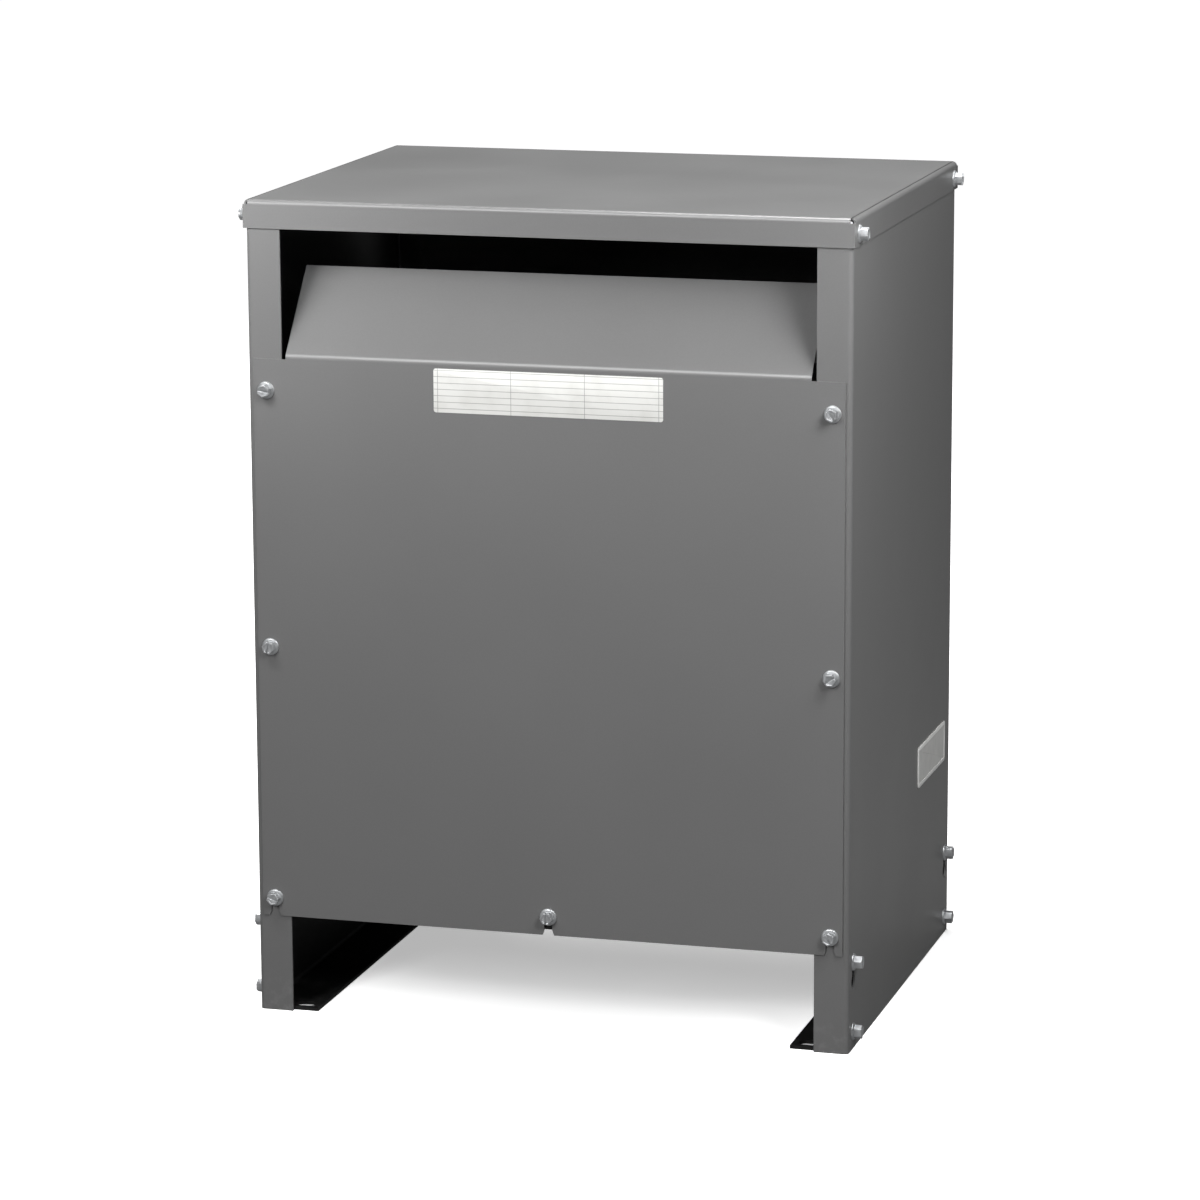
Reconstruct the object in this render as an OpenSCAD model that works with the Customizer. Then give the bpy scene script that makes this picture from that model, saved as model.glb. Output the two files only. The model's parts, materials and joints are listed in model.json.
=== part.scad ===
// Ventilated dry-type power transformer in a bent-sheet floor enclosure.
// Millimetres, +Z up. The origin is on the floor at the middle of the enclosure, with the front towards -Y.

/* [Enclosure] */
// Width over the two side panels
enclosure_w = 508; // [480:1:600]
// Depth over the side panels' front and rear flanges
enclosure_d = 394; // [360:1:480]
// Height from the floor to the top of the top cover
enclosure_h = 686; // [620:1:800]
// Sheet thickness of the side panels
side_t = 2; // [1.5:0.1:2.5]
// Sheet thickness of the top, front and rear covers
cover_t = 1.5; // [1:0.1:2]
// Outside radius of the side panels' and top cover's bends
bend_r = 4; // [3.5:0.5:6]
// Width of the side panels' front and rear flanges
flange_w = 29; // [26:1:34]
// Width of the side panels' inward flange under the top cover
top_flange_w = 26; // [16:1:40]
// Relief left beside the bends at the ends of that flange
corner_relief = 4; // [2:0.5:8]
// Clearance left where two pieces fit together
fit_gap = 0.3; // [0.2:0.1:0.5]

/* [Top cover] */
// Height of the turned-down rim, over the bend
rim_h = 23.5; // [18:0.5:32]
// Clearance between the rim and the side panels
rim_gap = 0.2; // [0.1:0.1:0.5]
// Distance of the rim's screws from the enclosure's front and rear
rim_screw_y = 14; // [12:0.5:20]

/* [Front and rear covers] */
// Height of the covers' bottom edge above the floor
toe_h = 83; // [70:1:86]
// Height of the vent between the deflector's top edge and the top cover's rim
vent_h = 37; // [20:1:70]
// Angle by which the air deflector leans back from upright
deflector_lean = 40; // [25:1:50]
// Length of the deflector's flat above the bend
deflector_l = 85; // [60:1:92]
// Outside radius of the deflector's bend
deflector_bend_r = 8; // [4:0.5:12]
// Gap between the deflector's ends and the flanges
deflector_gap = 4; // [2:0.5:6]
// Distance of a cover's upright edges from the enclosure's sides
cover_inset = 5; // [3:0.5:8]
// Distance of the screw lines from the enclosure's sides
screw_inset = 15.5; // [13:0.5:18]
// Rise from the top of the base rails to the lowest screws, in their open slots
screw_rise = 12.5; // [9:0.5:18]
// Drop from the covers' bend to the uppermost screws
screw_drop = 26; // [18:1:40]
// Width of the screw slots and holes in the covers
screw_slot_w = 7; // [5:0.5:9]
// Width of the open slots' mouth in a cover's bottom edge
slot_mouth_w = 10; // [9:0.5:16]
// Height over which that mouth narrows to the slot
slot_mouth_h = 4; // [2:0.5:6]
// Diameter of the screws' holes in the flanges, sills and side panels
screw_hole_d = 5; // [4:0.5:6]

/* [Base] */
// Height of the base rails
rail_h = 86; // [84:1:96]
// Width of the base rails' flanges, the lower of which is the foot
rail_w = 48; // [44:1:54]
// Steel thickness of the base rails
rail_t = 3; // [2.5:0.5:4]
// Outside radius of the bends in the base steel and the core clamps
steel_bend_r = 6; // [5:0.5:8]
// Height of the front and rear sills
sill_h = 40; // [30:1:60]
// Width of the sills' flange, which lies on the base rails
sill_w = 28; // [20:1:40]
// Width of the floor-bolt slots
foot_slot_w = 13; // [10:0.5:14]
// Length of the floor-bolt slots, end to end
foot_slot_l = 18; // [16:1:20]
// Distance of the floor-bolt slots' centres from the enclosure's sides
foot_slot_x = 36; // [35.5:0.5:38]
// Distance of the floor-bolt slots' centres from the enclosure's front and rear
foot_slot_y = 15; // [13:0.5:20]
// Distance of the panel bolts from the enclosure's front and rear
panel_bolt_y = 17; // [14:0.5:24]
// Height of the upper panel bolts, where the keyholes' necks end
panel_bolt_h = 74; // [68:1:76]
// Height of the lower panel bolts
low_bolt_h = 15; // [13:0.5:22]
// Diameter of the panel bolts' holes and width of the keyholes' necks
bolt_hole_d = 8; // [6:0.5:9]
// Radius of the keyholes' round ends
keyhole_r = 6.5; // [5:0.5:8]
// Drop from the panel bolt to the middle of the keyhole's round end
keyhole_drop = 16.5; // [9:0.5:18]
// Width of the cross channels under the core
channel_w = 48; // [40:1:56]
// Height of the cross channels
channel_h = 36; // [28:1:44]
// Steel thickness of the cross channels
channel_t = 4; // [3:0.5:5]
// Thickness of the isolation pads
pad_t = 12; // [8:1:20]
// Length of the isolation pads along the clamps
pad_l = 50; // [36:1:70]

/* [Core] */
// Width of each core leg
leg_w = 65; // [56:1:68]
// Depth of the lamination stack
stack_d = 100; // [80:1:110]
// Height of the two yokes
yoke_h = 65; // [56:1:72]
// Width of the windows between the legs
window_w = 75; // [74:1:80]
// Height of the windows
window_h = 250; // [200:1:290]
// Height of the core clamps
clamp_h = 66; // [56:1:70]
// Steel thickness of the core clamps
clamp_t = 4; // [3:0.5:5]
// How far the clamps stand back from the windows
clamp_setback = 2; // [1:0.5:5]
// Clearance between a tie rod and the winding beside it
rod_gap = 4; // [3:0.5:8]
// Radius of the tie rods
rod_r = 5; // [4:0.5:6]
// Width across the flats of the tie-rod nuts
nut_w = 17; // [15:1:19]
// Height of the tie-rod nuts
nut_h = 8; // [6:0.5:10]
// Steel left on a clamp beyond the nuts' corners
clamp_edge = 2; // [1:0.5:6]
// Length of thread past a nut
thread_over = 5; // [2:0.5:10]

/* [Windings] */
// Clearance between a core leg and its inner winding
leg_gap = 2; // [1:0.5:3]
// Build of the inner winding on every side
inner_build = 15; // [12:0.5:15]
// Build of the outer winding on every side
outer_build = 17; // [14:0.5:17]
// Cooling duct between the windings at the front and rear
duct_d = 12; // [8:0.5:14]
// Clearance between the windings at their sides
wrap_gap = 0.5; // [0.3:0.1:1]
// Inside corner radius of the inner winding
inner_corner_r = 6; // [3:0.5:8]
// Inside corner radius of the outer winding
outer_corner_r = 22; // [20:0.5:23]
// Width of the duct sticks
stick_w = 8; // [5:0.5:9]
// Spacing of the duct sticks
stick_pitch = 14; // [12:0.5:15]
// Number of duct sticks in each duct
stick_count = 4; // [2:1:4]
// Height of the insulating blocks between clamps and inner windings
block_h = 12; // [10:1:20]
// How much shorter the outer winding is at each end
end_step = 10; // [6:1:20]
// Width of the insulating blocks
block_w = 24; // [16:1:28]
// Distance of the insulating blocks from a winding's middle
block_x = 36; // [33:1:42]

/* [Terminals] */
// Thickness of the terminal boards
board_t = 8; // [6:1:12]
// How far the terminal boards reach past the outer legs' middles
board_over = 45; // [30:1:55]
// Thickness of the terminal bars
bar_t = 3; // [2:0.5:4]
// Width of the terminal bars
bar_w = 25; // [20:1:30]
// Outside radius of the terminal bars' bends
bar_bend_r = 5; // [4.5:0.5:5.5]
// Radius of the cable holes in the terminal bars
bar_hole_r = 5; // [3:0.5:6]
// Height of the terminal bars' tabs on the outer windings
tab_h = 30; // [20:1:50]
// Distance of the terminal bars' ends from the boards' far edges
bar_margin = 13; // [6:1:20]

/* [Display] */
// Sub-part to draw

/* [Hidden] */

$fn = 48;

// Cutters reach this far past the faces that they cut
cut_over = 1;

// Largest step in degrees along a bend that isn't a right angle
arc_step = 4;

// Enclosure planes
side_x = enclosure_w / 2;
front_y = enclosure_d / 2;
inner_x = side_x - side_t;
inner_y = front_y - side_t;
seat_z = enclosure_h - cover_t;
pan_w = enclosure_w + 2 * (rim_gap + cover_t);
pan_d = enclosure_d + 2 * (rim_gap + cover_t);

// Height at which the covers start to bend back between the flanges
deflector_rise = deflector_bend_r * sin(deflector_lean) + deflector_l * cos(deflector_lean);
lean_h = enclosure_h - rim_h - vent_h - deflector_rise;

// Screw lines: the middle screws are halfway up, and the rim's ones are in the middle of its flat
screw_x = side_x - screw_inset;
low_screw_h = rail_h + screw_rise;
high_screw_h = lean_h - screw_drop;
mid_screw_h = (low_screw_h + high_screw_h) / 2;
rim_screw_z = enclosure_h - (rim_h + bend_r) / 2;

// Base levels and ends
rail_l = 2 * (front_y - bend_r - fit_gap);
sill_l = 2 * (side_x - bend_r - fit_gap);
channel_l = 2 * (inner_x - steel_bend_r);
pad_z = rail_h + channel_h;

// Core levels
lower_clamp_z = pad_z + pad_t;
window_z = lower_clamp_z + clamp_h + clamp_setback;
upper_clamp_z = window_z + window_h + clamp_setback;
coil_pitch = leg_w + window_w;
core_w = 2 * coil_pitch + leg_w;
inner_z = lower_clamp_z + clamp_h + block_h;
inner_l = upper_clamp_z - block_h - inner_z;
outer_z = inner_z + end_step;
outer_l = inner_l - 2 * end_step;
middle_z = window_z + window_h / 2;

// Half sizes of the windings' rings
inner_hole = [leg_w / 2 + leg_gap, stack_d / 2 + leg_gap];
inner_ring = [inner_hole.x + inner_build, inner_hole.y + inner_build];
outer_hole = [inner_ring.x + wrap_gap, inner_ring.y + duct_d];
outer_ring = [outer_hole.x + outer_build, outer_hole.y + outer_build];
outer_round = outer_corner_r + outer_build;

// A tie rod stands off the rounded corner of an end winding, on its diagonal
nut_r = nut_w / 2 / cos(30);
rod_off = (outer_round + rod_gap + rod_r) * cos(45);
rod_x = coil_pitch + outer_ring.x - outer_round + rod_off;
rod_y = outer_ring.y - outer_round + rod_off;
clamp_y = rod_y + nut_r + clamp_edge;
clamp_w = clamp_y - stack_d / 2;
clamp_l = 2 * (rod_x + nut_r + clamp_edge);
base_y = stack_d / 2 + clamp_w / 2;
board_y = clamp_y + board_t;

// Points along an arc about a centre, for bends that aren't right angles.
function arc_points(centre, r, from, to) =
    let (steps = ceil(abs(to - from) / arc_step))
    [for (k = [0 : steps]) let (a = from + (to - from) * k / steps) centre + r * [cos(a), sin(a)]];

// Quarter disc in the first quadrant.
module quarter(r) {
    intersection() {
        circle(r);
        square(r);
    }
}

// Section of a right-angle sheet bend: a quarter ring in the first quadrant.
module bend(r, t) {
    difference() {
        quarter(r);
        circle(r - t);
    }
}

// Channel section with its web up the Y axis and its flanges towards +X.
module channel_section(web, flange, t, r) {
    translate([0, r]) square([t, web - 2 * r]);
    translate([r, 0]) square([flange - r, t]);
    translate([r, web - t]) square([flange - r, t]);
    translate([r, r]) rotate(180) bend(r, t);
    translate([r, web - r]) rotate(90) bend(r, t);
}

// Rectangle about the origin, given by half sizes, with rounded corners.
module rounded_block(half, r) {
    square([2 * half.x, 2 * (half.y - r)], center = true);
    square([2 * (half.x - r), 2 * half.y], center = true);
    for (sx = [0, 1], sy = [0, 1])
        mirror([sx, 0]) mirror([0, sy])
            translate([half.x - r, half.y - r]) quarter(r);
}

// Section lying in Y and Z, drawn out along X about the middle.
module along_x(l) {
    rotate([90, 0, 90]) linear_extrude(l, center = true) children();
}

// Section lying in X and Z, drawn out along Y about the middle.
module along_y(l) {
    rotate([90, 0, 0]) linear_extrude(l, center = true) children();
}

// The left, centre and right coil positions.
module at_coils() {
    for (i = [-1 : 1]) translate([i * coil_pitch, 0, 0]) children();
}

// One piece and its copy on the other side of the front-to-rear mid plane.
module both_sides() {
    for (s = [0, 1]) mirror([s, 0, 0]) children();
}

// One piece and its copy on the other side of the left-to-right mid plane.
module both_faces() {
    for (s = [0, 1]) mirror([0, s, 0]) children();
}

// Cutter through steel of the given thickness whose outer face is that far to the left. Its outline is drawn
// with +X down and +Y to the rear.
module through_left(face_x, t) {
    translate([-face_x - cut_over, 0, 0]) rotate([0, 90, 0]) linear_extrude(t + 2 * cut_over) children();
}

// Round hole through steel of the given thickness whose outer face is that far to the front.
module through_front(face_y, t, d) {
    translate([0, -face_y - cut_over, 0]) rotate([-90, 0, 0]) cylinder(d = d, h = t + 2 * cut_over);
}

// Holes of the panel bolts: a keyhole whose neck ends at the upper bolt, and a round hole for the lower one.
module panel_bolt_holes(t) {
    both_faces() translate([0, panel_bolt_y - front_y, 0]) through_left(side_x, t) {
        translate([-low_bolt_h, 0]) circle(d = bolt_hole_d);
        translate([-panel_bolt_h, 0]) {
            circle(d = bolt_hole_d);
            translate([0, -bolt_hole_d / 2]) square([keyhole_drop, bolt_hole_d]);
            translate([keyhole_drop, 0]) circle(keyhole_r);
        }
    }
}

// Holes of the screws that hold the top cover's rim to a side panel.
module rim_screw_holes(face_x, t, d) {
    both_faces() translate([0, rim_screw_y - front_y, rim_screw_z]) through_left(face_x, t) circle(d = d);
}

// One sheet: web with front and rear flanges down to the floor, and an inward seat flange at the top.
module side_panel() {
    color("gray") difference() {
        union() {
            translate([-side_x, -front_y, 0]) linear_extrude(seat_z - bend_r)
                channel_section(enclosure_d, flange_w, side_t, bend_r);
            translate([bend_r - side_x, 0, seat_z - bend_r]) along_y(enclosure_d - 2 * (bend_r + corner_relief)) {
                rotate(90) bend(bend_r, side_t);
                translate([0, bend_r - side_t]) square([top_flange_w - bend_r, side_t]);
            }
        }
        panel_bolt_holes(side_t);
        rim_screw_holes(side_x, side_t, screw_hole_d);
        both_faces() for (z = [low_screw_h, mid_screw_h, high_screw_h])
            translate([-screw_x, 0, z]) through_front(front_y, side_t, screw_hole_d);
    }
}

module left_side_panel() {
    side_panel();
}

module right_side_panel() {
    mirror([1, 0, 0]) side_panel();
}

// Shallow pan with a bent rim on four sides and a relief notch at the top of each corner.
module top_cover() {
    color("silver") difference() {
        union() {
            translate([0, 0, enclosure_h - cover_t / 2])
                cube([pan_w - 2 * bend_r, pan_d - 2 * bend_r, cover_t], center = true);
            both_faces() {
                translate([0, pan_d / 2 - bend_r, enclosure_h - bend_r])
                    along_x(pan_w - 2 * bend_r) bend(bend_r, cover_t);
                translate([-pan_w / 2, pan_d / 2 - cover_t, enclosure_h - rim_h])
                    cube([pan_w, cover_t, rim_h - bend_r]);
            }
            both_sides() {
                translate([pan_w / 2 - bend_r, 0, enclosure_h - bend_r])
                    along_y(pan_d - 2 * bend_r) bend(bend_r, cover_t);
                translate([pan_w / 2 - cover_t, cover_t - pan_d / 2, enclosure_h - rim_h])
                    cube([cover_t, pan_d - 2 * cover_t, rim_h - bend_r]);
            }
        }
        both_sides() rim_screw_holes(pan_w / 2, cover_t, screw_slot_w);
    }
}

// Open slot from a cover's bottom edge up to the screw, with a wider mouth that leads the screw in.
module screw_slot() {
    edge = toe_h - low_screw_h;
    along_y(2 * (cover_t + cut_over)) {
        circle(d = screw_slot_w);
        polygon([
            [screw_slot_w / 2, 0], [screw_slot_w / 2, edge + slot_mouth_h], [slot_mouth_w / 2, edge],
            [slot_mouth_w / 2, edge - cut_over], [-slot_mouth_w / 2, edge - cut_over], [-slot_mouth_w / 2, edge],
            [-screw_slot_w / 2, edge + slot_mouth_h], [-screw_slot_w / 2, 0]
        ]);
    }
}

// Section through the middle of a cover: the upright flat, the bend about the given axis and the deflector.
module deflector_section(axis) {
    normal = [-cos(deflector_lean), sin(deflector_lean)];
    reach = deflector_l * [sin(deflector_lean), cos(deflector_lean)];
    bend_inner_r = deflector_bend_r - cover_t;
    polygon(concat(
        [[axis.x - deflector_bend_r, toe_h]],
        arc_points(axis, deflector_bend_r, 180, 180 - deflector_lean),
        [axis + deflector_bend_r * normal + reach, axis + bend_inner_r * normal + reach],
        arc_points(axis, bend_inner_r, 180 - deflector_lean, 180),
        [[axis.x - bend_inner_r, toe_h]]
    ));
}

// Flat cover on the flanges. Above it the narrower middle bends back into the air deflector.
module front_cover() {
    flat_w = enclosure_w - 2 * cover_inset;
    color("darkgray") difference() {
        union() {
            translate([-flat_w / 2, -front_y - cover_t, toe_h]) cube([flat_w, cover_t, lean_h - toe_h]);
            along_x(enclosure_w - 2 * (flange_w + deflector_gap))
                deflector_section([deflector_bend_r - front_y - cover_t, lean_h]);
        }
        for (x = [-screw_x, 0, screw_x]) translate([x, -front_y, low_screw_h]) screw_slot();
        for (x = [-screw_x, screw_x], z = [mid_screw_h, high_screw_h])
            translate([x, 0, z]) through_front(front_y + cover_t, cover_t, screw_slot_w);
    }
}

module rear_cover() {
    mirror([0, 1, 0]) front_cover();
}

// Channel laid front to rear inside the side panel. Its lower flange is the foot, with a floor-bolt slot at each end.
module base_rail() {
    color("dimgray") difference() {
        translate([-inner_x, 0, 0]) along_y(rail_l) channel_section(rail_h, rail_w, rail_t, steel_bend_r);
        both_faces() translate([foot_slot_x - side_x, foot_slot_y - front_y, -cut_over])
            linear_extrude(rail_t + 2 * cut_over) {
                square([foot_slot_l - foot_slot_w, foot_slot_w], center = true);
                for (s = [-1, 1]) translate([s * (foot_slot_l - foot_slot_w) / 2, 0]) circle(d = foot_slot_w);
            }
        panel_bolt_holes(side_t + rail_t);
    }
}

module left_base_rail() {
    base_rail();
}

module right_base_rail() {
    mirror([1, 0, 0]) base_rail();
}

// Angle behind the flanges, lying on the rails' ends, which takes the cover's lowest screws.
module front_sill() {
    color("dimgray") difference() {
        translate([0, -inner_y, rail_h]) along_x(sill_l) {
            translate([0, bend_r]) square([side_t, sill_h - bend_r]);
            translate([bend_r, 0]) square([sill_w - bend_r, side_t]);
            translate([bend_r, bend_r]) rotate(180) bend(bend_r, side_t);
        }
        for (x = [-screw_x, 0, screw_x])
            translate([x, 0, low_screw_h]) through_front(inner_y, side_t, screw_hole_d);
    }
}

module rear_sill() {
    mirror([0, 1, 0]) front_sill();
}

// Channel with its open side down, across the rails under a row of pads.
module front_cross_channel() {
    color("dimgray") translate([0, -base_y, 0]) mirror([0, 0, 1]) translate([0, 0, -pad_z])
        along_x(channel_l) translate([-channel_w / 2, 0]) {
            translate([steel_bend_r, 0]) square([channel_w - 2 * steel_bend_r, channel_t]);
            translate([0, steel_bend_r]) square([channel_t, channel_h - steel_bend_r]);
            translate([channel_w - channel_t, steel_bend_r]) square([channel_t, channel_h - steel_bend_r]);
            translate([steel_bend_r, steel_bend_r]) rotate(180) bend(steel_bend_r, channel_t);
            translate([channel_w - steel_bend_r, steel_bend_r]) rotate(270) bend(steel_bend_r, channel_t);
        }
}

module rear_cross_channel() {
    mirror([0, 1, 0]) front_cross_channel();
}

// Rubber pads under the lower clamp, below the outer legs.
module front_isolation_pads() {
    pad_w = channel_w - 2 * steel_bend_r;
    color("black") both_sides() translate([coil_pitch - pad_l / 2, -base_y - pad_w / 2, pad_z])
        cube([pad_l, pad_w, pad_t]);
}

module rear_isolation_pads() {
    mirror([0, 1, 0]) front_isolation_pads();
}

// Lamination stack across the top or bottom of the legs.
module yoke(z) {
    color("slategray") translate([-core_w / 2, -stack_d / 2, z]) cube([core_w, stack_d, yoke_h]);
}

module lower_yoke() {
    yoke(window_z - yoke_h);
}

module upper_yoke() {
    yoke(window_z + window_h);
}

// Lamination stack of one leg, between the yokes.
module core_leg(i) {
    color("slategray") translate([i * coil_pitch - leg_w / 2, -stack_d / 2, window_z])
        cube([leg_w, stack_d, window_h]);
}

module left_core_leg() {
    core_leg(-1);
}

module centre_core_leg() {
    core_leg(0);
}

module right_core_leg() {
    core_leg(1);
}

// Channel bolted against the yoke with its flanges outwards. The flange beside the window takes the tie rods.
module lower_rear_clamp() {
    color("steelblue") difference() {
        translate([0, stack_d / 2, lower_clamp_z]) along_x(clamp_l)
            channel_section(clamp_h, clamp_w, clamp_t, steel_bend_r);
        both_sides() translate([rod_x, rod_y, lower_clamp_z + clamp_h - clamp_t - cut_over])
            cylinder(r = rod_r + fit_gap, h = clamp_t + 2 * cut_over);
    }
}

module lower_front_clamp() {
    mirror([0, 1, 0]) lower_rear_clamp();
}

// The upper clamps are the lower ones turned over about the middle of the windows.
module upper_rear_clamp() {
    translate([0, 0, 2 * middle_z]) mirror([0, 0, 1]) lower_rear_clamp();
}

module upper_front_clamp() {
    mirror([0, 1, 0]) upper_rear_clamp();
}

// Threaded rods that draw the clamps together, each with a nut against the far side of both flanges.
module tie_rods() {
    low_z = lower_clamp_z + clamp_h - clamp_t;
    high_z = upper_clamp_z + clamp_t;
    color("gainsboro") both_sides() both_faces() translate([rod_x, rod_y, 0]) {
        translate([0, 0, low_z - nut_h - thread_over])
            cylinder(r = rod_r, h = high_z - low_z + 2 * (nut_h + thread_over));
        for (z = [low_z - nut_h, high_z]) translate([0, 0, z]) cylinder(r = nut_r, h = nut_h, $fn = 6);
    }
}

// Inner winding with the duct sticks bonded to its front and rear faces.
module inner_winding(i) {
    color("peru") translate([i * coil_pitch, 0, 0]) {
        translate([0, 0, inner_z]) linear_extrude(inner_l) difference() {
            rounded_block(inner_ring, inner_corner_r + inner_build);
            rounded_block(inner_hole, inner_corner_r);
        }
        both_faces() for (k = [0 : stick_count - 1])
            translate([(k - (stick_count - 1) / 2) * stick_pitch - stick_w / 2, inner_ring.y, inner_z])
                cube([stick_w, duct_d, inner_l]);
    }
}

module left_inner_winding() {
    inner_winding(-1);
}

module centre_inner_winding() {
    inner_winding(0);
}

module right_inner_winding() {
    inner_winding(1);
}

// Outer winding, carried by the duct sticks.
module outer_winding(i) {
    color("sienna") translate([i * coil_pitch, 0, outer_z]) linear_extrude(outer_l) difference() {
        rounded_block(outer_ring, outer_round);
        rounded_block(outer_hole, outer_corner_r);
    }
}

module left_outer_winding() {
    outer_winding(-1);
}

module centre_outer_winding() {
    outer_winding(0);
}

module right_outer_winding() {
    outer_winding(1);
}

// Insulating blocks on the clamp flange, stepped to carry both windings.
module lower_coil_blocks() {
    low = inner_z - block_h;
    back = stack_d / 2 + clamp_t + leg_gap;
    color("wheat") at_coils() both_faces() for (s = [-1, 1]) translate([s * block_x, 0, 0]) along_x(block_w)
        polygon([
            [back, low], [outer_ring.y, low], [outer_ring.y, outer_z], [outer_hole.y, outer_z],
            [outer_hole.y, inner_z], [back, inner_z]
        ]);
}

module upper_coil_blocks() {
    translate([0, 0, 2 * middle_z]) mirror([0, 0, 1]) lower_coil_blocks();
}

// Insulating board closing the open side of a front clamp.
module terminal_board(z) {
    l = 2 * (coil_pitch + board_over);
    color("firebrick") translate([-l / 2, -board_y, z]) cube([l, board_t, clamp_h]);
}

module upper_terminal_board() {
    terminal_board(upper_clamp_z);
}

module lower_terminal_board() {
    terminal_board(lower_clamp_z);
}

// Cable hole through a bar's flat on the board.
module cable_hole(z) {
    translate([0, -board_y - bar_t - cut_over, z]) rotate([-90, 0, 0])
        cylinder(r = bar_hole_r, h = bar_t + cut_over);
}

// Flat bars from the outer windings' faces, forward and up over the upper board.
module high_voltage_bars() {
    front = -board_y - bar_t;
    shelf = outer_z + outer_l - bar_bend_r;
    foot = shelf - bar_bend_r;
    end = upper_clamp_z + clamp_h - bar_margin;
    color("goldenrod") at_coils() difference() {
        along_x(bar_w) {
            translate([-outer_ring.y - bar_t, foot - tab_h]) square([bar_t, tab_h]);
            translate([-outer_ring.y - bar_bend_r, foot]) bend(bar_bend_r, bar_t);
            translate([front + bar_bend_r, shelf - bar_t])
                square([-outer_ring.y - front - 2 * bar_bend_r, bar_t]);
            translate([front + bar_bend_r, shelf - bar_t + bar_bend_r]) rotate(180) bend(bar_bend_r, bar_t);
            translate([front, shelf - bar_t + bar_bend_r])
                square([bar_t, end - shelf + bar_t - bar_bend_r]);
        }
        cable_hole(upper_clamp_z + clamp_h / 2);
    }
}

// Flat bars from under the inner windings, forward and down over the lower board.
module low_voltage_bars() {
    front = -board_y - bar_t;
    end = lower_clamp_z + bar_margin;
    color("goldenrod") at_coils() difference() {
        along_x(bar_w) {
            translate([front + bar_bend_r, inner_z - bar_t])
                square([-inner_hole.y - front - bar_bend_r - leg_gap, bar_t]);
            translate([front + bar_bend_r, inner_z - bar_bend_r]) rotate(90) bend(bar_bend_r, bar_t);
            translate([front, end]) square([bar_t, inner_z - bar_bend_r - end]);
        }
        cable_hole(lower_clamp_z + clamp_h / 2);
    }
}

left_side_panel();
right_side_panel();
top_cover();
front_cover();
rear_cover();
left_base_rail();
right_base_rail();
front_sill();
rear_sill();
front_cross_channel();
rear_cross_channel();
front_isolation_pads();
rear_isolation_pads();
lower_yoke();
upper_yoke();
left_core_leg();
centre_core_leg();
right_core_leg();
lower_front_clamp();
lower_rear_clamp();
upper_front_clamp();
upper_rear_clamp();
tie_rods();
left_inner_winding();
centre_inner_winding();
right_inner_winding();
left_outer_winding();
centre_outer_winding();
right_outer_winding();
lower_coil_blocks();
upper_coil_blocks();
upper_terminal_board();
lower_terminal_board();
high_voltage_bars();
low_voltage_bars();
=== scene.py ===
"""Looks of a ventilated dry-type power transformer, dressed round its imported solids.

Everything is in metres, with +Z up, the front towards -Y and the origin on the floor under the middle.
Sizes that a maker would read off a drawing are written in millimetres and named so.
"""

import json
import logging
import math
from collections.abc import Callable, Iterator
from contextlib import contextmanager
from dataclasses import dataclass
from enum import Enum

import bmesh
import bpy
from mathutils import Matrix, Vector

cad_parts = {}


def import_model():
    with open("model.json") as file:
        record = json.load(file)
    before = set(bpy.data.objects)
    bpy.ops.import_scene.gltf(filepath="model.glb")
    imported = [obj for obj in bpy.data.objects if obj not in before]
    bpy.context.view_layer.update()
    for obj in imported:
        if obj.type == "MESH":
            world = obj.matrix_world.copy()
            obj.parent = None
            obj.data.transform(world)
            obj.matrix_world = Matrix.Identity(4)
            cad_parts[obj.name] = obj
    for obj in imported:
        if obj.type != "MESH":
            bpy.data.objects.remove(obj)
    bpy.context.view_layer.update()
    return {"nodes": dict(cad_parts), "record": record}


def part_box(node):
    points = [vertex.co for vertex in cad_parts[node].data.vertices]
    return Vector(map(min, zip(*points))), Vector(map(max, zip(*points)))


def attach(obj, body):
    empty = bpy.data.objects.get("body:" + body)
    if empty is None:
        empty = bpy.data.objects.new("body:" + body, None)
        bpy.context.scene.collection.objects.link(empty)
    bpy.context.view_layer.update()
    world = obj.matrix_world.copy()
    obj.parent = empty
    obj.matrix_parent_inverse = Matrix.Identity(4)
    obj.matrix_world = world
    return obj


LOG = logging.getLogger("transformer")
MM = 0.001
BODY = "root"
# Each screw of a row stops at another angle; this step never repeats within a row
TURN_STEP = math.radians(137.5)
# On screws and nuts, edges sharper than the first angle are rounded, and faces that meet at less than
# the second are shaded as one
ROUNDED_FROM = math.radians(38)
SMOOTH_BELOW = math.radians(32)
# Slack for finding points that lie at one height or on the axis
SLACK = 0.01 * MM
# A face lies level where its normal has more than this along Z
LEVEL = 0.99
# Noise mostly lies between these values
NOISE_SPAN = {"From Min": 0.3, "From Max": 0.7}


class Slot(Enum):
    """Finishes that the record names."""

    ENCLOSURE = "enclosure_paint"
    BASE = "base_paint"
    PADS = "pad_rubber"
    CORE = "core_steel"
    CLAMPS = "clamp_paint"
    ZINC = "zinc_steel"
    INNER_WRAP = "inner_wrap"
    OUTER_WRAP = "outer_wrap"
    BOARD = "insulating_board"
    LAMINATE = "terminal_laminate"
    BARS = "bar_metal"


class Drive(Enum):
    """How a screw head is turned."""

    SLOT = "hexagon with a screwdriver slot"
    HEXAGON = "hexagon alone"


class Reach(Enum):
    """Whether a lamp lights a surface's matt colour and whether its gloss shows the lamp."""

    WHOLE = (True, True)
    MATT = (True, False)
    GLOSS = (False, True)


class Facing(Enum):
    """Outward direction of the face that a piece sits on."""

    FRONT = (0.0, -1.0, 0.0)
    REAR = (0.0, 1.0, 0.0)
    LEFT = (-1.0, 0.0, 0.0)
    RIGHT = (1.0, 0.0, 0.0)


# Where a fastener sits and which way it faces
Seat = tuple[Vector, Facing]


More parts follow.
